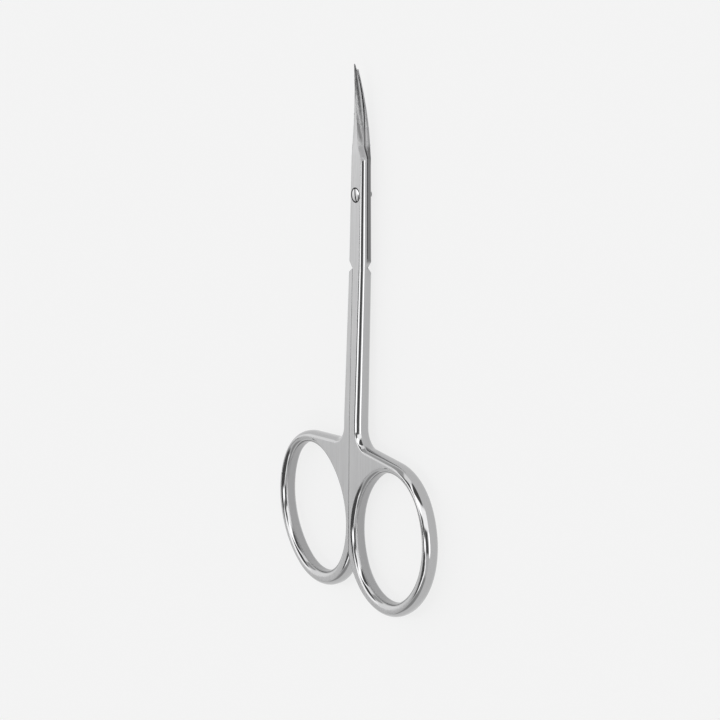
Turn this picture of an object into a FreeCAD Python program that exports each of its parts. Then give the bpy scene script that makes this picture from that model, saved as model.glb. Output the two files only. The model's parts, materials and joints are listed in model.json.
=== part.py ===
import FreeCAD, Part
import math
import os
import re

import Sketcher

# Cuticle scissors lying on their back, front face up: +Y runs to the tips, +X to the right ring.
# Each half is one forging: finger ring, shank, lap plate and curved blade.
# The halves cross at a lap joint and turn on a slotted screw that is tapped into the lower half.
# A half is drawn about the pivot, with its lap face on the XY plane and its ring towards +X.
# The lower half is drawn likewise and turned over about the long axis: its ring stands off the lap face
# and its blade curves the other way, so that rings and blades come out side by side.

SIZES = [
    ("hole_half_width", 10.95, "finger hole, half of its short axis"),
    ("hole_half_height", 13.2, "finger hole, half of its long axis"),
    ("ring_lean_angle", 15, "lean of the ring's long axis, outwards, in degrees"),
    ("ring_reach", 65.25, "finger hole's centre, below the pivot"),
    ("web_width", 1.74, "narrowest web, from the seam to the hole"),
    ("side_stock", 2.8, "outer oval's half width, beyond the hole's"),
    ("end_stock", 2.65, "outer oval's half height, beyond the hole's"),
    ("ring_drop", 0.2, "outer oval's centre, below the hole's centre"),
    ("rim_pass", 1.5, "outer oval's side, past the seam"),
    ("ring_thickness", 3.3, "ring and web, front to back"),
    ("ring_raise", 0.6, "ring's middle plane, in front of the lap faces"),
    ("side_land", 0.15, "half of the straight stretch between the roundings of a side"),
    ("crease_angle", 60, "turn of a side's rounding, up to the crease at the ground flat, in degrees"),
    ("hole_bevel", 0.45, "bevel of the hole's edges"),
    ("ring_top_angle", 4.5, "fall of the ring's top outline, outwards, in degrees"),
    ("crotch_round", 3.2, "fillet between ring and shank"),
    ("root_length", 1.6, "straight shank above the crotch"),
    ("seam_gap", 0.1, "gap between the closed halves"),
    ("seam_drift", 0.6, "seam's sideways shift at the lap, on each face"),
    ("notch_reach", 14.25, "deepest point of the side notch, below the pivot"),
    ("notch_climb", 2.1, "outer end of the lap plate, above the notch's deepest point"),
    ("notch_fall", 1.3, "outer end of the full shank, below the notch's deepest point"),
    ("notch_ledge", 0.1, "deepest point of the side notch, outwards of the seam"),
    ("lap_half_width", 2.4, "lap's half width at the notch"),
    ("lap_half_thickness", 1.42, "one plate at the notch"),
    ("lap_gap", 0.06, "gap between the two plates"),
    ("lap_taper", 0.23, "thinning of one plate, from the notch to the heel"),
    ("heel_rise", 7.25, "start of the blade's grind, above the pivot"),
    ("upper_blade", 24.95, "front blade's tip, above the pivot"),
    ("lower_blade", 23.95, "rear blade's tip, above the pivot"),
    ("bend_start", 9.75, "start of the blades' curve, above the pivot"),
    ("bend_radius", 74, "radius of the blades' curve"),
    ("tip_parting", 0.25, "gap between the tips, beyond the plates' gap"),
    ("edge_reach", 1.1, "cutting edge, from the middle plane, past the heel"),
    ("edge_land", 0.03, "height of the cutting edge's land"),
    ("tip_width", 0.25, "width of the blade at its tip"),
    ("tip_thickness", 0.15, "thickness of the blade at its tip"),
    ("neck_diameter", 1.6, "screw's neck and thread"),
    ("neck_play", 0.03, "running clearance about the neck"),
    ("thread_play", 0.01, "clearance in the tapped hole"),
    ("head_diameter", 2.5, "screw's head"),
    ("head_height", 0.6, "screw's head, crown included"),
    ("head_crown", 0.12, "rise of the head's crown"),
    ("head_proud", 0.1, "crown, in front of the lap's face"),
    ("head_play", 0.12, "clearance about and under the head"),
    ("tail_proud", 1.05, "screw's rounded end, behind the lap's back"),
    ("tail_crown", 0.35, "rise of the rounded end"),
    ("slot_width", 0.42, "driver slot's width"),
    ("slot_depth", 0.34, "driver slot's depth"),
    ("slot_angle", 12, "driver slot's turn from the long axis, in degrees"),
    ("overrun", 5, "how far every cut runs past the metal"),
]

# Shares of the blade's length, heel to tip, where its section is drawn.
SECTION_SHARES = [0.12, 0.3, 0.48, 0.66, 0.83, 1]
# Where the grind's ridge lies between spine and edge, at the heel and at the tip.
RIDGE_SHARES = (0.85, 0.04)
# Depth of the hollow grind as a share of its chord.
HOLLOW_SHARE = 0.09
# The spine is rounded over this share of the blade's thickness.
SPINE_SHARE = 0.8
# Powers of the length share that shape the blade: narrowing spine, edge and thinning.
# The ridge follows a power of the share that is left, so that it nears the spine early.
SPINE_POWER = 1.6
EDGE_POWER = 4
THINNING_POWER = 0.8
RIDGE_POWER = 2

doc = FreeCAD.newDocument("cuticle_scissors")
sheet = doc.addObject("Spreadsheet::Sheet", "sizes")
for row, (alias, size, note) in enumerate(SIZES, start=1):
    sheet.set(f"A{row}", alias)
    sheet.set(f"B{row}", str(size))
    sheet.set(f"C{row}", note)
    sheet.setAlias(f"B{row}", alias)
doc.recompute()

ALIASES = {alias for alias, size, note in SIZES}


def formula(text):
    """Write an expression in which each size's name points at its cell."""
    return re.sub(r"[a-z_]+", lambda word: "sizes." + word[0] if word[0] in ALIASES else word[0], text)


def number(text):
    """Work out an expression's value now, to place geometry before it is constrained."""
    result = sheet.evalExpression(formula(text))
    return float(getattr(result, "Value", result))


def bind(thing, field, text):
    """Tie a property to an expression on the sheet."""
    thing.setExpression(field, formula(text))


def new_sketch(body, name, role, offset="0"):
    """Attach a sketch to one of the body's own origin planes, moved along its normal."""
    sketch = body.newObject("Sketcher::SketchObject", name)
    plane = next(item for item in body.Origin.OriginFeatures if item.Role == role)
    sketch.AttachmentSupport = [(plane, "")]
    sketch.MapMode = "FlatFace"
    bind(sketch, "AttachmentOffset.Base.z", offset)
    return sketch


def pin(sketch, kind, text, *places):
    """Add one dimension to a sketch and tie it to the sheet."""
    index = sketch.addConstraint(Sketcher.Constraint(kind, *places, number(text)))
    bind(sketch, f"Constraints[{index}]", text)


def pin_point(sketch, edge, end, x, y):
    """Fix a point of a sketch by its two coordinates."""
    pin(sketch, "DistanceX", x, -1, 1, edge, end)
    pin(sketch, "DistanceY", y, -1, 1, edge, end)


def join(sketch, first, first_end, second, second_end):
    """Make two edges meet at a point."""
    sketch.addConstraint(Sketcher.Constraint("Coincident", first, first_end, second, second_end))


def draw(sketch, corners):
    """Draw a closed outline through corners (x, y, radius).

    The radius belongs to the edge that leaves the corner: None is a straight edge,
    a text is an arc of that radius, which bulges to the right of the way round,
    and a text that starts with "hollow" bulges to the left.
    """
    points = [FreeCAD.Vector(number(x), number(y), 0) for x, y, radius in corners]
    ends = []
    for corner, start in enumerate(points):
        finish = points[(corner + 1) % len(points)]
        radius = corners[corner][2]
        if radius is None:
            edge = sketch.addGeometry(Part.LineSegment(start, finish))
            ends.append((edge, 1, 2))
            continue
        hollow = radius.startswith("hollow")
        radius = radius.removeprefix("hollow")
        chord = finish - start
        half = chord.Length / 2
        rise = number(radius) - math.sqrt(max(number(radius) ** 2 - half ** 2, 0))
        right = FreeCAD.Vector(chord.y, -chord.x, 0).normalize()
        middle = (start + finish) / 2 + right * (-rise if hollow else rise)
        edge = sketch.addGeometry(Part.Arc(start, middle, finish))
        ends.append((edge, 2, 1) if hollow else (edge, 1, 2))
        pin(sketch, "Radius", radius, edge)
    for corner, (edge, first, last) in enumerate(ends):
        before, before_first, before_last = ends[corner - 1]
        join(sketch, before, before_last, edge, first)
        pin_point(sketch, edge, first, corners[corner][0], corners[corner][1])


def add_feature(body, kind, name, sketch, **settings):
    """Add a sketch-based feature and set its options."""
    feature = body.newObject(f"PartDesign::{kind}", name)
    feature.Profile = sketch
    for field, setting in settings.items():
        setattr(feature, field, setting)
    return feature


def cut(body, name, sketch, length, upwards=False, both=False):
    """Cut a sketch's outline out of the body, and check that metal was removed."""
    doc.recompute()
    before = body.Shape.Volume
    feature = add_feature(body, "Pocket", name, sketch, Type="Length", Reversed=upwards)
    if both:
        feature.SideType = "Symmetric"
    bind(feature, "Length", length)
    doc.recompute()
    if body.Shape.Volume >= before:
        raise RuntimeError(f"{name} of {body.Label} cut nothing")
    return feature


def dress_edges(body, name, kind, field, size, wanted):
    """Fillet or bevel the edges of the body's last feature that the test picks."""
    doc.recompute()
    base = body.Tip
    names = [f"Edge{index}" for index, edge in enumerate(base.Shape.Edges, start=1) if wanted(edge)]
    dressing = body.newObject(f"PartDesign::{kind}", name)
    dressing.Base = (base, names)
    bind(dressing, field, size)
    doc.recompute()


def loft(body, name, sections, ruled):
    """Join the body with a loft through sketches."""
    return add_feature(body, "AdditiveLoft", name, sections[0], Sections=sections[1:], Ruled=ruled)


def near(first, second):
    """Tell whether two lengths are the same place."""
    return math.isclose(first, second, abs_tol=number("seam_gap / 100"))


def end_radius(half_long, half_short):
    """Radius of an oval's end arcs.

    An oval is four tangent arcs. Its radii lie midway between the two sets that take an ellipse's
    own curvature at the ends or at the sides, so that it stays closest to the ellipse.
    """
    return f"({half_short} * ({half_long} + 3 * {half_short}) / (4 * {half_long}))"


def side_radius(half_long, half_short):
    """Radius of an oval's side arcs, which meet its end arcs without a corner."""
    return f"({half_long} * (2 * {half_long} + {half_short}) / (3 * {half_short}))"


def breadth(half_long, half_short):
    """Half of a leaning oval's extent across the part, which a side arc sets."""
    side = side_radius(half_long, half_short)
    return f"({side} - ({side} - {half_short}) * cos(ring_lean_angle))"


def stature(half_long, half_short):
    """Half of a leaning oval's extent along the part, which an end arc sets."""
    end = end_radius(half_long, half_short)
    return f"({end} + ({half_long} - {end}) * cos(ring_lean_angle))"


def oval_corners(x, y, half_long, half_short):
    """The four points where an oval's arcs meet, each with the arc that leaves it, from the upper left.

    The oval leans by ring_lean_angle from +Y towards +X. At each point the oval faces along
    the line through the centres of both arcs, whose shares along and across are worked out here.
    """
    end = end_radius(half_long, half_short)
    side = side_radius(half_long, half_short)
    whole = f"(8 * {half_long}^2 + 12 * {half_long} * {half_short} + 9 * {half_short}^2)"
    along_share = f"(3 * {half_short} * (4 * {half_long} + 3 * {half_short}) / {whole})"
    across_share = f"(4 * {half_long} * (2 * {half_long} + 3 * {half_short}) / {whole})"
    along = f"({half_long} - {end} + {end} * {along_share})"
    across = f"({end} * {across_share})"
    corners = []
    for up, left, radius in ((1, 1, side), (-1, 1, end), (-1, -1, side), (1, -1, end)):
        rise = f"{up} * {along}"
        shift = f"{left} * {across}"
        corners.append((f"{x} + {rise} * sin(ring_lean_angle) - {shift} * cos(ring_lean_angle)",
                        f"{y} + {rise} * cos(ring_lean_angle) + {shift} * sin(ring_lean_angle)",
                        radius))
    return corners


def side_round(half):
    """Radius of a side's rounding, which a flat half the thickness from the middle cuts off at a crease."""
    return f"(({half} - side_land) / sin(crease_angle))"


# One plate at the pivot and at the heel.
PLATE = "(lap_half_thickness - lap_taper * notch_reach / (notch_reach + heel_rise))"
HEEL_THICKNESS = "(lap_half_thickness - lap_taper)"

# Seen from the front, the roundings of shank and lap run along one straight axis, from the ring to the heel.
RING_HALF = "(ring_thickness / 2)"
RING_ROUND = side_round(RING_HALF)
SIDE_AXIS = f"(lap_half_width - {side_round('lap_half_thickness')})"
ROOT_WIDTH = f"({SIDE_AXIS} + {RING_ROUND})"
HEEL_WIDTH = f"({SIDE_AXIS} + {side_round(HEEL_THICKNESS)})"

HOLE_X = f"(web_width + {breadth('hole_half_height', 'hole_half_width')})"

# The outer oval runs past the seam, so that the web is flat up to the seam.
OUTER_LONG = "(hole_half_height + end_stock)"
OUTER_SHORT = "(hole_half_width + side_stock)"
OUTER_END = end_radius(OUTER_LONG, OUTER_SHORT)
OUTER_SIDE = side_radius(OUTER_LONG, OUTER_SHORT)
OUTER_X = f"({breadth(OUTER_LONG, OUTER_SHORT)} - rim_pass)"
OUTER_Y = "(-ring_reach - ring_drop)"
OUTER_STATURE = stature(OUTER_LONG, OUTER_SHORT)

# Where the ring's top line touches the outer oval, where it meets the shank's side, and the shank's root.
TOP_X = (f"({OUTER_X} + ({OUTER_LONG} - {OUTER_END}) * sin(ring_lean_angle)"
         f" + {OUTER_END} * sin(ring_top_angle))")
TOP_Y = (f"({OUTER_Y} + ({OUTER_LONG} - {OUTER_END}) * cos(ring_lean_angle)"
         f" + {OUTER_END} * cos(ring_top_angle))")
CROTCH_Y = f"({TOP_Y} + ({TOP_X} - {ROOT_WIDTH}) * tan(ring_top_angle))"
ROOT_Y = f"({CROTCH_Y} + crotch_round + root_length)"


def ring_outline(body, middle):
    """Outline of ring and shank root: oval, sloping top line, shank side, and a side past the seam.

    The side past the seam and the top line touch the oval where it runs their way.
    """
    sketch = new_sketch(body, "ring_outline", "XY_Plane", middle)
    side_y = f"{OUTER_Y} - ({OUTER_SIDE} - {OUTER_SHORT}) * sin(ring_lean_angle)"
    draw(sketch, [("-rim_pass", side_y, OUTER_SIDE),
                  *oval_corners(OUTER_X, OUTER_Y, OUTER_LONG, OUTER_SHORT)[1:],
                  (TOP_X, TOP_Y, None),
                  (ROOT_WIDTH, CROTCH_Y, None),
                  (ROOT_WIDTH, ROOT_Y, None),
                  ("-rim_pass", ROOT_Y, None)])
    return sketch


def make_ring(body, middle):
    """Finger ring, web and shank root: a rounded blank, ground flat, holed and trimmed at the seam."""
    blank = add_feature(body, "Pad", "ring_blank", ring_outline(body, middle), SideType="Symmetric")
    bind(blank, "Length", f"2 * ({RING_ROUND} + side_land)")

    width = number(ROOT_WIDTH)
    crotch = number(CROTCH_Y)
    root = number(ROOT_Y)

    def on_face(box):
        return near(box.ZMin, box.ZMax)

    def in_crotch(edge):
        ends = [vertex.Point for vertex in edge.Vertexes]
        return all(near(end.x, width) and near(end.y, crotch) for end in ends)

    def on_rim(edge):
        return on_face(edge.BoundBox) and not near(edge.BoundBox.YMin, root)

    hole_corners = oval_corners(HOLE_X, "-ring_reach", "hole_half_height", "hole_half_width")
    spots = [(number(x), number(y)) for x, y, radius in hole_corners]

    def around_hole(edge):
        ends = [vertex.Point for vertex in edge.Vertexes]
        return on_face(edge.BoundBox) and all(
            any(near(end.x, x) and near(end.y, y) for x, y in spots) for end in ends)

    dress_edges(body, "crotch", "Fillet", "Radius", "crotch_round", in_crotch)
    dress_edges(body, "rim", "Fillet", "Radius", RING_ROUND, on_rim)
    left, right = "-rim_pass - overrun", f"2 * {OUTER_X} + rim_pass + overrun"
    low, high = f"{OUTER_Y} - {OUTER_STATURE} - overrun", f"{ROOT_Y} + overrun"
    for face, level in (("front", f"{middle} + {RING_HALF}"), ("back", f"{middle} - {RING_HALF}")):
        grind = new_sketch(body, f"{face}_outline", "XY_Plane", level)
        draw(grind, [(left, low, None), (right, low, None), (right, high, None), (left, high, None)])
        cut(body, f"{face}_flat", grind, "overrun", upwards=face == "front")
    hole = new_sketch(body, "hole_outline", "XY_Plane", middle)
    draw(hole, hole_corners)
    cut(body, "finger_hole", hole, "ring_thickness + 2 * overrun", both=True)
    dress_edges(body, "hole_rim", "Chamfer", "Size", "hole_bevel", around_hole)

    seam = new_sketch(body, "seam_outline", "XY_Plane", middle)
    inner = "seam_gap / 2"
    draw(seam, [(left, low, None), (inner, low, None), (inner, high, None), (left, high, None)])
    cut(body, "seam", seam, "ring_thickness + 2 * overrun", both=True)


def shank_section(body, name, station, middle, half, drift):
    """Section of one shank: inner face on the seam, flat front and back, rounded outer side."""
    rounding = side_round(half)
    width = f"{SIDE_AXIS} + {rounding}"
    crease = f"{SIDE_AXIS} + {rounding} * cos(crease_angle)"
    sketch = new_sketch(body, name, "XZ_Plane", f"-({station})")
    draw(sketch, [(f"seam_gap / 2 + {drift}", f"{middle} - {half}", None),
                  (crease, f"{middle} - {half}", rounding),
                  (width, f"{middle} - side_land", None),
                  (width, f"{middle} + side_land", rounding),
                  (crease, f"{middle} + {half}", None),
                  (f"seam_gap / 2 - {drift}", f"{middle} + {half}", None)])
    return sketch


def plate_section(body, name, station, half):
    """Section of the lap plate: flat lap face, both sides rounded up to the flat front."""
    rounding = side_round(half)
    width = f"({SIDE_AXIS} + {rounding})"
    crease = f"({SIDE_AXIS} + {rounding} * cos(crease_angle))"
    sketch = new_sketch(body, name, "XZ_Plane", f"-({station})")
    draw(sketch, [(f"-{width}", "lap_gap / 2", None),
                  (width, "lap_gap / 2", None),
                  (width, "side_land", rounding),
                  (crease, half, None),
                  (f"-{crease}", half, rounding),
                  (f"-{width}", "side_land", None)])
    return sketch


def blade_section(body, name, blade, share, turn):
    """Section of the blade at a share of its length: flat inside, rounded spine, hollow-ground outside.

    The inner face follows the blade's curve, which the turned-over half bends the other way.
    """
    station = f"(heel_rise + {share} * ({blade} - heel_rise))"
    bend = f"(max(0; {station} - bend_start)^2 / (2 * bend_radius))"
    parting = "0" if turn > 0 else f"tip_parting * {share}^2"
    inside = f"(lap_gap / 2 + {parting} + {turn} * {bend})"
    spine = f"(-tip_width - ({HEEL_WIDTH} - tip_width) * (1 - {share}^{SPINE_POWER}))"
    edge = f"(edge_reach * (1 - {share}^{EDGE_POWER}))"
    height = f"({HEEL_THICKNESS} - ({HEEL_THICKNESS} - tip_thickness) * {share}^{THINNING_POWER})"
    rounding = f"({SPINE_SHARE} * {height})"
    crest = f"({spine} + {rounding})"
    heel_share, tip_share = RIDGE_SHARES
    ridge_share = tip_share + (heel_share - tip_share) * (1 - share) ** RIDGE_POWER
    ridge = f"({crest} + {ridge_share} * ({edge} - {crest}))"
    chord = f"sqrt(({edge} - {ridge})^2 + ({height} - edge_land)^2)"
    hollow = f"{chord} * {(0.25 + HOLLOW_SHARE ** 2) / (2 * HOLLOW_SHARE)}"
    sketch = new_sketch(body, name, "XZ_Plane", f"-{station}")
    draw(sketch, [(spine, inside, None),
                  (edge, inside, None),
                  (edge, f"{inside} + edge_land", "hollow" + hollow),
                  (ridge, f"{inside} + {height}", None),
                  (crest, f"{inside} + {height}", rounding),
                  (spine, f"{inside} + {height} - {rounding}", None)])
    return sketch


def make_half(name, blade, turn):
    """One forging: ring, tapered shank, notched lap and hollow-ground blade."""
    body = doc.addObject("PartDesign::Body", name)
    body.Label = name
    middle = f"({turn} * ring_raise)"
    make_ring(body, middle)

    lap_start = "(seam_gap / 2 - notch_reach)"
    root = shank_section(body, "shank_root", ROOT_Y, middle, RING_HALF, "0")
    top = shank_section(body, "shank_top", lap_start, "0", "lap_half_thickness", "seam_drift")
    loft(body, "shank", [root, top], ruled=True)

    notch_floor = "(seam_drift + notch_ledge)"
    notch_depth = f"(lap_half_width - {notch_floor})"
    far_x = "(lap_half_width + overrun)"
    shoulder = new_sketch(body, "shoulder_outline", "XY_Plane", "lap_gap / 2")
    shoulder_y = "(-notch_reach - seam_gap / 2)"
    draw(shoulder, [("-overrun", shoulder_y, None),
                    (notch_floor, shoulder_y, None),
                    (far_x, f"{shoulder_y} - notch_fall * (1 + overrun / {notch_depth})", None),
                    (far_x, "overrun", None),
                    ("-overrun", "overrun", None)])
    cut(body, "shoulder", shoulder, "lap_half_thickness + overrun")

    lap = plate_section(body, "lap_start", lap_start, "lap_half_thickness")
    heel = plate_section(body, "lap_heel", "heel_rise", HEEL_THICKNESS)
    loft(body, "lap", [lap, heel], ruled=True)

    corner = new_sketch(body, "corner_outline", "XY_Plane")
    draw(corner, [(f"-{notch_floor}", f"{lap_start} - overrun", None),
                  (f"-{notch_floor}", lap_start, None),
                  (f"-{far_x}", f"{lap_start} + notch_climb * (1 + overrun / {notch_depth})", None),
                  (f"-{far_x}", f"{lap_start} - overrun", None)])
    cut(body, "corner", corner, "lap_half_thickness + overrun", upwards=True)

    heel_again = plate_section(body, "blade_heel", "heel_rise", HEEL_THICKNESS)
    sections = [blade_section(body, f"blade_{index}", blade, share, turn)
                for index, share in enumerate(SECTION_SHARES)]
    loft(body, "run_out", [heel_again, sections[0]], ruled=True)
    loft(body, "blade", sections, ruled=False)
    return body


def bore(body, name, diameter, floor=None):
    """Round hole on the pivot: right through, or from a floor upwards."""
    sketch = new_sketch(body, f"{name}_outline", "XY_Plane", floor or "0")
    circle = sketch.addGeometry(Part.Circle(FreeCAD.Vector(), FreeCAD.Vector(0, 0, 1), number(diameter) / 2))
    join(sketch, circle, 3, -1, 1)
    pin(sketch, "Diameter", diameter, circle)
    cut(body, name, sketch, "2 * lap_half_thickness + 2 * overrun", upwards=bool(floor), both=not floor)


def make_screw(name):
    """Slotted pivot screw: crowned head, plain neck and thread, rounded end."""
    body = doc.addObject("PartDesign::Body", name)
    body.Label = name
    neck = "neck_diameter / 2"
    head = "head_diameter / 2"
    top = f"({PLATE} + head_proud)"
    under = f"({top} - head_height)"
    bottom = f"(-{PLATE} - tail_proud)"
    crown = "(head_diameter^2 / 4 + head_crown^2) / (2 * head_crown)"
    tail = "(neck_diameter^2 / 4 + tail_crown^2) / (2 * tail_crown)"
    outline = new_sketch(body, "screw_outline", "XZ_Plane")
    draw(outline, [("0", bottom, tail),
                   (neck, f"{bottom} + tail_crown", None),
                   (neck, under, None),
                   (head, under, None),
                   (head, f"{top} - head_crown", crown),
                   ("0", top, None)])
    turned = add_feature(body, "Revolution", "turned", outline, ReferenceAxis=(outline, ["V_Axis"]))
    turned.Angle = 360
    slot = new_sketch(body, "slot_outline", "XY_Plane", f"{top} - slot_depth")
    along = ["sin(slot_angle)", "-cos(slot_angle)"]
    across = ["cos(slot_angle)", "sin(slot_angle)"]
    corners = []
    for end, side in ((1, 1), (-1, 1), (-1, -1), (1, -1)):
        x, y = [f"{end} * head_diameter * {run} + {side} * slot_width / 2 * {step}"
                for run, step in zip(along, across)]
        corners.append((x, y, None))
    draw(slot, corners)
    cut(body, "slot", slot, "slot_depth + overrun", upwards=True)
    return body


def place(body, turn):
    """Set a piece on the pivot, with the whole part centred over the screw's lowest point."""
    body.Placement.Rotation = FreeCAD.Rotation(FreeCAD.Vector(0, 1, 0), 0 if turn > 0 else 180)
    bind(body, "Placement.Base.y", f"({OUTER_STATURE} - {OUTER_Y} - upper_blade) / 2")
    bind(body, "Placement.Base.z", f"{PLATE} + tail_proud")


upper = make_half("upper_half", "upper_blade", 1)
bore(upper, "neck_hole", "neck_diameter + 2 * neck_play")
bore(upper, "head_recess", "head_diameter + 2 * head_play",
     f"{PLATE} + head_proud - head_height - head_play")
lower = make_half("lower_half", "lower_blade", -1)
bore(lower, "tapped_hole", "neck_diameter + 2 * thread_play")
screw = make_screw("pivot_screw")
place(upper, 1)
place(lower, -1)
place(screw, 1)
doc.recompute()

for item in doc.Objects:
    if "Invalid" in item.State or "Error" in item.State:
        raise RuntimeError(f"{item.Label} did not build: {item.State}")
os.makedirs("parts", exist_ok=True)
for body in (upper, lower, screw):
    shape = body.Shape
    if shape.isNull() or not shape.isValid() or len(shape.Solids) != 1:
        raise RuntimeError(f"{body.Label} is not one valid solid")
    box = shape.BoundBox
    print(body.Label, "volume", round(shape.Volume, 3), "box", [round(edge, 2) for edge in (
        box.XMin, box.XMax, box.YMin, box.YMax, box.ZMin, box.ZMax)])
    shape.exportStep(f"parts/{body.Label}.step")
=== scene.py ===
# %% [markdown]
# # Cuticle scissors
# Two steel forgings cross at a lap joint and turn on one slotted screw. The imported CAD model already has
# their shape in metres, so this lesson softens its edges, gives the steel its finishes, and sets up a
# studio to reflect and the photograph's camera.

# %% load the frame
import json
import math

import bmesh
import bpy
import numpy as np
from mathutils import Matrix, Vector


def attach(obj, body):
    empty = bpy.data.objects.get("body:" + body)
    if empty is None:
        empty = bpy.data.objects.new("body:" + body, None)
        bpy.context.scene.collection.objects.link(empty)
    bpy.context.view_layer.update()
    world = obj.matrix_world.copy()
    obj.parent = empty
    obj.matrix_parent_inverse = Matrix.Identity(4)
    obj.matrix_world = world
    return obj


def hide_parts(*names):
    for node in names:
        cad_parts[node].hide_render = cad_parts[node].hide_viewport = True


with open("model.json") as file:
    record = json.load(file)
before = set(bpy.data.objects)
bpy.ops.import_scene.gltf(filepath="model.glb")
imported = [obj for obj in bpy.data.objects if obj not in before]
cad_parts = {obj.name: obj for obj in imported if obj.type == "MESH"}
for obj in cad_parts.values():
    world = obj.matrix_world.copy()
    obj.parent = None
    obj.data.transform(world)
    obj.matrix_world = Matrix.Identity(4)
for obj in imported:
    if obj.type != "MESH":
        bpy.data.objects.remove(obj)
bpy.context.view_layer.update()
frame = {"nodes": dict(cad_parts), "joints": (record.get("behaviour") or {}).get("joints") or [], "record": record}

nodes = frame["nodes"]
pivot = Vector(frame["joints"][0]["pos_m"])
print("pieces", sorted(nodes), "pivot", tuple(round(value, 5) for value in pivot))

# %% [markdown]
# ## Camera
# The photograph was taken from the right and a little above, with the scissors upright in the picture.
# A camera could be aimed by eye. Here the turn, tilt, roll and distance come from fitting the outline of
# the CAD model to the object's outline in the photograph, so they are plain numbers. The middle of the two
# rings is the point that is held at its place in the picture.

# %% camera
MM = 0.001
PHOTO_SIDE = 720
PHOTO_MIDDLE = PHOTO_SIDE / 2
PIXELS_PER_MM = 5.041
TURN = math.radians(55.715)
TILT = math.radians(12.843)
ROLL = math.radians(-0.53)
DISTANCE = 420.139 * MM
RINGS_SEEN_AT = (357.876, 521.051)
RINGS_BELOW_PIVOT = 65.25 * MM
SENSOR = 36


def camera_axes(turn, tilt, roll):
    """Rows are the camera's right, up and backward directions: turn about Y, tilt about X, roll about Z."""
    about_y = np.array([[math.cos(turn), 0, -math.sin(turn)], [0, 1, 0], [math.sin(turn), 0, math.cos(turn)]])
    about_x = np.array([[1, 0, 0], [0, math.cos(tilt), -math.sin(tilt)], [0, math.sin(tilt), math.cos(tilt)]])
    about_z = np.array([[math.cos(roll), -math.sin(roll), 0], [math.sin(roll), math.cos(roll), 0], [0, 0, 1]])
    return about_z @ about_x @ about_y


axes = camera_axes(TURN, TILT, ROLL)
rings = np.array(pivot) - [0, RINGS_BELOW_PIVOT, 0]
aside = (PHOTO_MIDDLE - RINGS_SEEN_AT[0]) / PIXELS_PER_MM * MM
above = (RINGS_SEEN_AT[1] - PHOTO_MIDDLE) / PIXELS_PER_MM * MM
camera_data = bpy.data.cameras.new("photo_camera")
camera_data.sensor_width = SENSOR
camera_data.lens = SENSOR * PIXELS_PER_MM / MM * DISTANCE / PHOTO_SIDE
camera = bpy.data.objects.new("photo_camera", camera_data)
bpy.context.scene.collection.objects.link(camera)
placement = Matrix(axes.T.tolist()).to_4x4()
placement.translation = Vector(rings + axes.T @ [aside, above, DISTANCE])
camera.matrix_world = placement
bpy.context.scene.camera = camera
print("lens", round(camera_data.lens, 1), "mm, at", [round(value, 3) for value in placement.translation])

# %% [markdown]
# ## A welded copy
# A CAD node arrives as loose triangles, which no modifier can round. A copy has its equal points merged.
# The level faces of the rings and webs hold long thin triangles, so their inner edges are turned to give
# triangles of a better shape, which can be moved and bevelled without folding over. The triangles of every
# other plane are joined into one face. The node itself is left alone.

# %% a welded copy
WELD_REACH = 0.002 * MM
SAME_PLANE = math.radians(0.4)
LEVEL = 0.99999


def level_parts(shell):
    """The level faces, which look straight up or down, and the edges that lie within them."""
    faces = {face for face in shell.faces if abs(face.normal.z) > LEVEL}
    edges = [edge for edge in shell.edges if faces.issuperset(edge.link_faces)]
    return list(faces), edges


def welded_copy(name):
    """A new mesh from a CAD node: equal points merged, and the triangles of level faces reshaped."""
    shell = bmesh.new()
    shell.from_mesh(nodes[name].data)
    bmesh.ops.remove_doubles(shell, verts=shell.verts, dist=WELD_REACH)
    shell.normal_update()
    faces, edges = level_parts(shell)
    bmesh.ops.beautify_fill(shell, faces=faces, edges=edges, method="ANGLE")
    mesh = bpy.data.meshes.new(name + "_steel")
    shell.to_mesh(mesh)
    shell.free()
    return mesh


def join_planes(mesh):
    """Join the triangles of one plane into larger faces, except in the level faces."""
    shell = bmesh.new()
    shell.from_mesh(mesh)
    kept = set(level_parts(shell)[1])
    edges = [edge for edge in shell.edges if edge not in kept]
    bmesh.ops.dissolve_limit(shell, angle_limit=SAME_PLANE, verts=shell.verts, edges=edges)
    shell.to_mesh(mesh)
    shell.free()


def read(items, field, width, kind=np.float32):
    """One property of all items of a mesh as an array, one row per item."""
    flat = np.empty(len(items) * width, kind)
    items.foreach_get(field, flat)
    return flat.reshape(-1, width) if width > 1 else flat


print("welding within", WELD_REACH, "m")

# %% [markdown]
# ## Lips of the finger holes
# The finger holes of scissors are rounded over, so that they don't cut into the hand. The solids have a
# narrow flat bevel there, because a round would cost thousands of faces in CAD. Here the two rows of
# points along that bevel are moved apart, which leaves room for a full round lip.

# %% lips of the finger holes
LIP_REACH = 0.95 * MM
LIP_GROWTH = 0.3 * MM
FACE_ROW = 1.4 * MM
HOLE_HALF_WIDTH = 10.95 * MM
HOLE_HALF_HEIGHT = 13.2 * MM
RING_LEAN = math.radians(15)
mounts = {mount["name"]: mount["pos_m"] for mount in frame["record"]["mounts"]}
HOLES = {"upper_half": (mounts["right_ring"], 1), "lower_half": (mounts["left_ring"], -1)}


def outside_hole(points, centre, side):
    """How far points lie outside a finger hole: the distance to its centre beyond the leaning oval's own."""
    x, y = (points[:, 0] - centre[0]) * side, points[:, 1] - centre[1]
    along = x * math.sin(RING_LEAN) + y * math.cos(RING_LEAN)
    across = x * math.cos(RING_LEAN) - y * math.sin(RING_LEAN)
    distance = np.hypot(along, across)
    return distance * (1 - 1 / np.hypot(along / HOLE_HALF_HEIGHT, across / HOLE_HALF_WIDTH))


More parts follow.
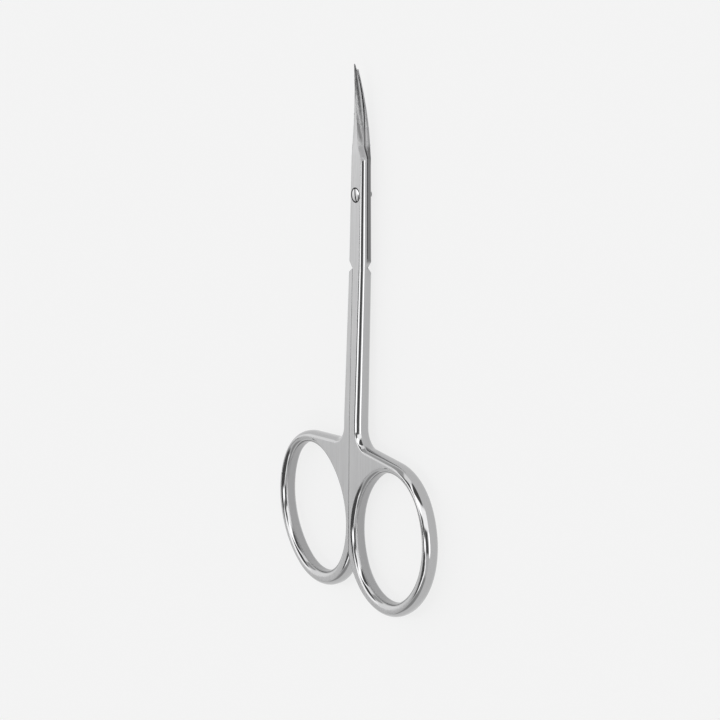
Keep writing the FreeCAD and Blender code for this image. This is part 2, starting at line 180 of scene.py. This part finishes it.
def widen_lip(mesh, centre, side):
    """A wider bevel at a hole: the row on the face moves away from the hole, the row in the bore inwards."""
    points = read(mesh.vertices, "co", 3)
    lip = np.abs(outside_hole(points, centre, side)) < LIP_REACH
    height = points[:, 2] - centre[2]
    away = points[:, :2] - np.array(centre[:2])
    away /= np.hypot(away[:, 0], away[:, 1])[:, None]
    on_face = lip & (np.abs(height) > FACE_ROW)
    in_bore = lip & ~on_face
    points[on_face, :2] += LIP_GROWTH * away[on_face]
    points[in_bore, 2] -= LIP_GROWTH * np.sign(height[in_bore])
    mesh.vertices.foreach_set("co", points.ravel())
    print("lip rows on the faces", int(on_face.sum()), "and in the bore", int(in_bore.sum()))


print("finger holes", {name: np.round(centre, 4).tolist() for name, (centre, _) in HOLES.items()})

# %% [markdown]
# ## Eased edges
# A forging that was ground and polished has every edge broken a little, and the crease between a ground
# flat and a polished side is softer still. One Bevel modifier rounds them all. How far is set edge by edge,
# with a weight that numpy works out: full on the lips of the holes, less on creases, least on sharp edges.

# %% eased edges
CREASE = math.radians(22)
BLUNT = math.radians(36)
LIP_WIDTH = 0.48 * MM
EASED_SHARE = 0.106
CREASE_SHARE = 0.375
CREASES_END = 7.3 * MM
ROUND_STEPS = 4


def edge_angles(mesh):
    """Angle between the two faces at each edge: the loops sorted by edge come in pairs on a closed shell."""
    normals = read(mesh.polygons, "normal", 3)
    owner = np.repeat(np.arange(len(mesh.polygons)), read(mesh.polygons, "loop_total", 1, np.int32))
    order = np.argsort(read(mesh.loops, "edge_index", 1, np.int32), kind="stable")
    pairs = normals[owner[order].reshape(-1, 2)]
    return np.arccos(np.clip((pairs[:, 0] * pairs[:, 1]).sum(1), -1, 1))


def edge_weights(mesh, name):
    """Share of the lip's width at each edge: 1 at a hole's lip, less on a crease, least on a sharp edge."""
    angles = edge_angles(mesh)
    weights = EASED_SHARE * (angles > CREASE)
    if name in HOLES:
        ends = read(mesh.edges, "vertices", 2, np.int32)
        points = read(mesh.vertices, "co", 3)
        below_grind = (points[ends, 1] < pivot.y + CREASES_END).all(1)
        weights[(weights > 0) & (angles < BLUNT) & below_grind] = CREASE_SHARE
        gap = outside_hole(points, *HOLES[name])[ends]
        level = np.abs(np.diff(points[ends, 2], axis=1))[:, 0] < WELD_REACH
        weights[(np.abs(gap) < LIP_REACH).all(1) & level & (weights > 0)] = 1
    print(name, "lip edges", int((weights == 1).sum()), "of", len(weights))
    return weights.astype(np.float32)


def ease(name, body):
    """Put a welded copy in a node's place, with its edges rounded by their weights."""
    mesh = welded_copy(name)
    if name in HOLES:
        widen_lip(mesh, *HOLES[name])
    join_planes(mesh)
    weights = edge_weights(mesh, name)
    mesh.attributes.new("bevel_weight_edge", "FLOAT", "EDGE").data.foreach_set("value", weights)
    mesh.polygons.foreach_set("use_smooth", np.ones(len(mesh.polygons), bool))
    piece = bpy.data.objects.new(name + "_steel", mesh)
    bpy.context.scene.collection.objects.link(piece)
    bevel = piece.modifiers.new("eased_edges", "BEVEL")
    bevel.limit_method = "WEIGHT"
    bevel.width = LIP_WIDTH
    bevel.segments = ROUND_STEPS
    bevel.use_clamp_overlap = False
    bevel.loop_slide = False
    weighted = piece.modifiers.new("weighted_normals", "WEIGHTED_NORMAL")
    weighted.keep_sharp = True
    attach(piece, body)
    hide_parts(name)
    return piece


upper = ease("upper_half", "upper")
lower = ease("lower_half", "lower")
screw = ease("pivot_screw", "lower")

# %% [markdown]
# ## Shader maths
# A shader graph can be wired by hand, link by link. Here one small class stands for a socket, so that a
# mask or a colour is written as an ordinary expression.

# %% shader maths


class Value:
    """A socket in a node tree. Arithmetic on it adds Math nodes."""

    def __init__(self, tree, socket):
        self.tree = tree
        self.socket = socket

    def node(self, kind, settings=(), output=0, **inputs):
        """Add any other node: its settings are set first, then its sockets get values or links."""
        made = self.tree.nodes.new(kind)
        for field, setting in dict(settings).items():
            setattr(made, field, setting)
        for name, value in inputs.items():
            key = int(name[1:]) if name[1:].isdigit() else name.replace("_", " ")
            if isinstance(value, Value):
                self.tree.links.new(value.socket, made.inputs[key])
            else:
                made.inputs[key].default_value = value
        return Value(self.tree, made.outputs[output])

    def maths(self, operation, first, second=0.0):
        return self.node("ShaderNodeMath", {"operation": operation}, i0=first, i1=second)

    def __add__(self, other):
        return self.maths("ADD", self, other)

    __radd__ = __add__

    def __mul__(self, other):
        return self.maths("MULTIPLY", self, other)

    __rmul__ = __mul__

    def __sub__(self, other):
        return self.maths("SUBTRACT", self, other)

    def __rsub__(self, other):
        return self.maths("SUBTRACT", other, self)

    def __abs__(self):
        return self.maths("ABSOLUTE", self)

    def root(self):
        return self.maths("SQRT", self)

    def either(self, other):
        """The larger of two values."""
        return self.maths("MAXIMUM", self, other)

    def between(self, low, high):
        """0 below low, 1 above high, and a smooth step between."""
        return self.node("ShaderNodeMapRange", {"interpolation_type": "SMOOTHSTEP"},
                         Value=self, From_Min=low, From_Max=high)

    def parts(self):
        """The three parts of a vector."""
        made = self.node("ShaderNodeSeparateXYZ", Vector=self).socket.node
        return [Value(self.tree, socket) for socket in made.outputs]


COOL = 1.008
BUMP_DEPTH = 0.02 * MM


def new_steel(name):
    """A bare metal, with its Principled shader, and the place and the normal of a point on the piece."""
    material = bpy.data.materials.new(name)
    material.use_nodes = True
    tree = material.node_tree
    shader = tree.nodes["Principled BSDF"]
    shader.inputs["Metallic"].default_value = 1.0
    coordinates = tree.nodes.new("ShaderNodeTexCoord").outputs
    return material, shader, Value(tree, coordinates["Object"]), Value(tree, coordinates["Normal"])


def feed(shader, roughness, grey, height, strength):
    """Link a roughness, a grey that is a touch cool, and a bump of some strength to a shader."""
    tint = grey.node("ShaderNodeCombineColor", Red=grey, Green=grey, Blue=grey * COOL)
    bump = height.node("ShaderNodeBump", Strength=strength, Distance=BUMP_DEPTH, Height=height)
    for name, value in (("Roughness", roughness), ("Base Color", tint), ("Normal", bump)):
        value.tree.links.new(value.socket, shader.inputs[name])


print("shader maths for sums, products, roots and smooth steps")

# %% [markdown]
# ## Where each finish and painted shade lies
# One bar of steel carries several finishes. The flat fronts are satin, the rounded sides and rings are
# polished, the bores of the finger holes were only deburred, and the blades are ground from a heel up to
# a leaf-shaped hollow, whose leaf is also made darker. The bores and the sides of the rear lap plate are
# painted darker as shade. Painted shade also darkens the recess about the screw's head, the seam of the
# webs and the line between the lap plates. Painted masks would do. Here each finish and each painted shade
# is told apart by where a point lies and which way its surface faces, so the masks need no unwrapping.

# %% where each finish lies
FLAT_FACING = (0.955, 0.99)
BORE_EDGE = (1.004, 1.02)
HEEL = (6.4 * MM, 7.3 * MM)
LEAF = (9 * MM, 11 * MM)
RECESS_EDGE = (1.45 * MM, 1.51 * MM)
RECESS_DEPTH = (0.1 * MM, 0.2 * MM)
SEAM_LINE = (0.05 * MM, 0.13 * MM)
SEAM_TOP = (-16 * MM, -15 * MM)
SEAM_FACING = (0.88, 0.95)
LAP_BOTTOM = (-13.5 * MM, -12.5 * MM)
LAP_TOP = (9 * MM, 10 * MM)
PARTING_LINE = (0.08 * MM, 0.15 * MM)
PARTING_FACING = (0.8, 0.9)
REAR_PLATE = (-0.2 * MM, -0.1 * MM)


def hole_measure(x, y):
    """1 on a finger hole's oval, less inside: the leaning ellipse's equation, mirrored for both rings."""
    x, y = abs(x) - abs(mounts["right_ring"][0]), y - mounts["right_ring"][1]
    along = x * math.sin(RING_LEAN) + y * math.cos(RING_LEAN)
    across = x * math.cos(RING_LEAN) - y * math.sin(RING_LEAN)
    along, across = along * (1 / HOLE_HALF_HEIGHT), across * (1 / HOLE_HALF_WIDTH)
    return (along * along + across * across).root()


def ground_finishes(place, normal):
    """Shares of the flats, bores, blades, blade leaves and the rear plate's painted shade, from height, oval and
    facing.
    """
    x, y, z = place.parts()
    rise = y - pivot.y
    flat = abs(normal.parts()[2]).between(*FLAT_FACING)
    bore = 1 - hole_measure(x, y).between(*BORE_EDGE)
    lap = rise.between(*LAP_BOTTOM) * (1 - rise.between(*LAP_TOP))
    rear = lap * (1 - (z - pivot.z).between(*REAR_PLATE))
    return flat, bore, rise.between(*HEEL), rise.between(*LEAF), lap, rear


def painted_crevice_shade(place, normal, lap):
    """Share of painted shade: in the recess, beside the seam, and beside the parting line of the lap's sides."""
    x, y, z = place.parts()
    rise, depth, facing = y - pivot.y, z - pivot.z, abs(normal.parts()[2])
    from_screw = (x * x + rise * rise).root()
    recess = (1 - from_screw.between(*RECESS_EDGE)) * depth.between(*RECESS_DEPTH)
    seam = (1 - abs(x).between(*SEAM_LINE)) * (1 - y.between(*SEAM_TOP)) * facing.between(*SEAM_FACING)
    parting = (1 - abs(depth).between(*PARTING_LINE)) * lap * (1 - facing.between(*PARTING_FACING))
    return recess.either(seam).either(parting)


print("heel from", HEEL[0], "to", HEEL[1], "m above the screw")

# %% [markdown]
# ## Scissor steel
# Belts and wheels leave their marks along the shanks: fine lines, and broader streaks where the belt was
# coarse. Both are noise that is stretched along the scissors. The heel of the grind is left rough, and the
# leaf above it is finer again. Roughness and grey are sums of what each finish and each painted shade adds.

# %% scissor steel
FINE_LINES = (9000, 220, 9000)
BELT_STREAKS = (2600, 45, 2600)
CLOUDS = 160.0
POLISHED = 0.06
SATIN_ROUGH = 0.2
GRAIN_ROUGH = 0.14
CLOUD_ROUGH = 0.03
HEEL_ROUGH = 0.5
LEAF_FINER = 0.3
BORE_ROUGH = 0.24
CREVICE_ROUGH = 0.3
STEEL_GREY = 0.48
# The grey of the painted shade in the screw's recess, along the seam of the webs and in the lap's parting line.
CREVICE_SHADE_GREY = 0.03
LINE_GREY = 0.12
SATIN_SHADE = 0.08
# Painted shade in the bores of the finger holes.
BORE_PAINTED_SHADE = 0.08
# How much darker the leaf is, and the painted shade on the sides of the rear lap plate.
DARK_LEAF_AND_REAR_SHADE = 0.28
LEAF_SHARE = 0.43
GRAIN_RELIEF = 0.15
HEEL_RELIEF = 0.5


def noise(place, scale, detail, stretch=None):
    """Noise of some scale, stretched along one axis where a stretch is given."""
    if stretch:
        place = place.node("ShaderNodeMapping", Vector=place, Scale=stretch)
    return place.node("ShaderNodeTexNoise", Vector=place, Scale=scale, Detail=detail)


def scissor_steel():
    """Satin flats, polished sides, dull bores, blades with a grind, and painted shade, added up by their shares.
    """
    material, shader, place, normal = new_steel("scissor_steel")
    flat, bore, blade, leaf, lap, rear = ground_finishes(place, normal)
    crevice_shade = painted_crevice_shade(place, normal, lap)
    grain = noise(place, 1.0, 3.0, FINE_LINES)
    streak = noise(place, 1.0, 2.0, BELT_STREAKS)
    cloud = noise(place, CLOUDS, 2.0)
    satin = flat * (SATIN_ROUGH + GRAIN_ROUGH * grain)
    grind = (1 - flat) * (blade * HEEL_ROUGH - leaf * LEAF_FINER)
    dull = bore * BORE_ROUGH + crevice_shade * CREVICE_ROUGH
    roughness = POLISHED + satin + CLOUD_ROUGH * cloud + grind + dull
    lines = flat * (LINE_GREY * (grain + streak) - SATIN_SHADE)
    # The leaf is made darker, and the rear lap plate gets painted shade.
    darker_leaf_and_shaded_rear = (leaf * LEAF_SHARE).either(rear) * (1 - flat)
    # Painted shade darkens the bores here.
    grey_so_far = STEEL_GREY + lines - bore * BORE_PAINTED_SHADE - darker_leaf_and_shaded_rear * DARK_LEAF_AND_REAR_SHADE
    # Painted shade: the recess, the seam and the parting line are darkened here.
    grey = grey_so_far + crevice_shade * (CREVICE_SHADE_GREY - grey_so_far)
    feed(shader, roughness, grey, grain * (flat + blade * HEEL_RELIEF + bore), GRAIN_RELIEF)
    return material


steel = scissor_steel()
for piece in (upper, lower):
    piece.data.materials.append(steel)
print("scissor steel with", len(steel.node_tree.nodes), "nodes")

# %% [markdown]
# ## Screw steel
# The screw is turned on a lathe, so its finish runs in circles about its axis. A wave of the distance from
# the axis gives the rings. The floor of the driver slot is rougher, because the polishing wheel misses it,
# and it is painted darker as shade. The end that stands out of the back is painted dark as shade.

# %% screw steel
TURNED_RINGS = 9000
SLOT_FLOOR = 0.2 * MM
SLOT_BLUR = 0.04 * MM
TAIL_TOP = (1.05 * MM, 1.15 * MM)
TURNED = 0.12
RING_ROUGH = 0.04
SLOT_ROUGH = 0.2
SCREW_GREY = 0.6
# Painted shade on the floor of the driver slot.
SLOT_PAINTED_SHADE = 0.3
# Painted shade on the tail that stands out of the back, under the scissors.
TAIL_SHADE_GREY = 0.12
RING_RELIEF = 0.05
screw_top = float(read(screw.data.vertices, "co", 3)[:, 2].max())


def turned_steel():
    """Rings by the sine of the distance from the axis, with a dull slot floor, and painted shade in the slot and
    on the tail.
    """
    material, shader, place, _ = new_steel("screw_steel")
    x, y, z = place.parts()
    y = y - pivot.y
    away = (x * x + y * y).root()
    rings = away.maths("SINE", away * (2 * math.pi * TURNED_RINGS))
    slot = 1 - z.between(screw_top - SLOT_FLOOR - SLOT_BLUR, screw_top - SLOT_FLOOR)
    tail = 1 - z.between(*TAIL_TOP)
    # Painted shade on the slot floor.
    grey_so_far = SCREW_GREY - slot * SLOT_PAINTED_SHADE
    # Painted shade on the tail.
    grey = grey_so_far + tail * (TAIL_SHADE_GREY - grey_so_far)
    feed(shader, TURNED + RING_ROUGH * rings + slot * SLOT_ROUGH, grey, rings, RING_RELIEF)
    return material


screw.data.materials.append(turned_steel())
print("screw with turned rings, top at", round(screw_top, 5))

# %% [markdown]
# ## Floor
# The scissors lie on a plain pale floor. A white sweep could be lit until it is white, but that would burn
# out the steel too. Here the camera and the steel's own reflections see the floor mostly as an even glow,
# and its paint still takes the soft shadow.

# %% floor
FLOOR_SIDE = 4
BACKGROUND = 0.905
FLOOR_PAINT = 0.96
FLOOR_SHARE = 0.85
FLOOR_ROUGHNESS = 0.9
corners = FLOOR_SIDE / 2 * np.array([[-1, -1, 0], [1, -1, 0], [1, 1, 0], [-1, 1, 0]])
floor_mesh = bpy.data.meshes.new("floor")
floor_mesh.from_pydata(corners.tolist(), [], [(0, 1, 2, 3)])
floor = bpy.data.objects.new("floor", floor_mesh)
bpy.context.scene.collection.objects.link(floor)
paint = bpy.data.materials.new("floor_paint")
paint.use_nodes = True
tree = paint.node_tree
shader = tree.nodes["Principled BSDF"]
shader.inputs["Base Color"].default_value = (FLOOR_PAINT, FLOOR_PAINT, FLOOR_PAINT, 1)
shader.inputs["Roughness"].default_value = FLOOR_ROUGHNESS
shader.inputs["Specular IOR Level"].default_value = 0.0
path = tree.nodes.new("ShaderNodeLightPath").outputs
seen = Value(tree, path["Is Camera Ray"])
for kind in ("Is Glossy Ray", "Is Transmission Ray"):
    seen = seen + Value(tree, path[kind])
glow = seen.node("ShaderNodeEmission", Color=(BACKGROUND, BACKGROUND, BACKGROUND, 1), Strength=1.0)
painted = Value(tree, shader.outputs[0])
mixed = seen.node("ShaderNodeMixShader", i0=FLOOR_SHARE * seen, i1=painted, i2=glow)
tree.links.new(mixed.socket, tree.nodes["Material Output"].inputs["Surface"])
floor_mesh.materials.append(paint)
print("floor of", FLOOR_SIDE, "m, background", BACKGROUND)

# %% [markdown]
# ## Studio
# Polished steel shows the room more than itself. A photographer sets softboxes and black cards about it,
# which give the white and dark stripes along the rounded sides. Lamps and planes could stand there, but
# they would also show in other views. Here the world is a pale wall all round, and each softbox or card is
# a window in it: a range of the direction's own x, y and height, with blurred ends.

# %% studio
LIGHT = 1.42
WALL = (0.56, 0.92)
WALL_FADE = (-0.45, 0.1)
BLUR = 0.045
ALL = (-2, 2)
# Ranges of x, y and height, then the brightness. A later panel covers an earlier one.
PANELS = {
    "low_wall": (ALL, ALL, (-2, 0.2), BACKGROUND / LIGHT),
    "overhead_card": ((-0.62, -0.03), ALL, (0.7, 2), 0.06),
    "overhead_softbox": ((-0.03, 0.54), ALL, (0.6, 2), 1.6),
    "ring_card": ((-0.62, 0.43), (-2, -0.29), (0.7, 2), 0.08),
    "blade_softbox": ((-0.7, 0.05), (-0.1, 0.25), (0.6, 2), 1.3),
    "blade_card": ((0.05, 0.55), (-0.1, 0.25), (0.6, 2), 0.1),
    "right_card": ((0.57, 0.9), (-0.34, 0.12), (0.26, 2), 0.08),
    "right_softbox": ((0.9, 2), (-0.4, 0.12), (0.0, 0.26), 1.8),
    "far_right_softbox": ((0.55, 2), (0.12, 0.55), (0.0, 0.8), 1.25),
    "far_card": ((0.1, 0.75), (0.6, 2), (0.2, 0.85), 0.08),
    "far_grey_card": ((-0.75, -0.3), (0.5, 2), (0.2, 0.7), 0.4),
    "near_grey_card": ((-0.6, 0.6), (-2, -0.7), (0.25, 0.6), 0.3),
}


def window(value, low, high):
    """1 between low and high with blurred ends, else 0."""
    return value.between(low - BLUR, low + BLUR) * (1 - value.between(high - BLUR, high + BLUR))


world = bpy.data.worlds.new("studio")
bpy.context.scene.world = world
world.use_nodes = True
tree = world.node_tree
direction = Value(tree, tree.nodes.new("ShaderNodeTexCoord").outputs["Generated"]).parts()
level = WALL[0] + (WALL[1] - WALL[0]) * direction[1].between(*WALL_FADE)
for *ranges, brightness in PANELS.values():
    mask = 1.0
    for value, ends in zip(direction, ranges):
        mask = window(value, *ends) * mask
    level = level + mask * (brightness - level)
back = tree.nodes["Background"]
tree.links.new((level * LIGHT).socket, back.inputs["Strength"])
back.inputs["Color"].default_value = (1, 1, 1, 1)
bpy.context.scene.view_settings.view_transform = "Standard"
print("studio with", len(PANELS), "panels")

# %% [markdown]
# ## Update
# The view layer is brought up to date.

# %% update
bpy.context.view_layer.update()
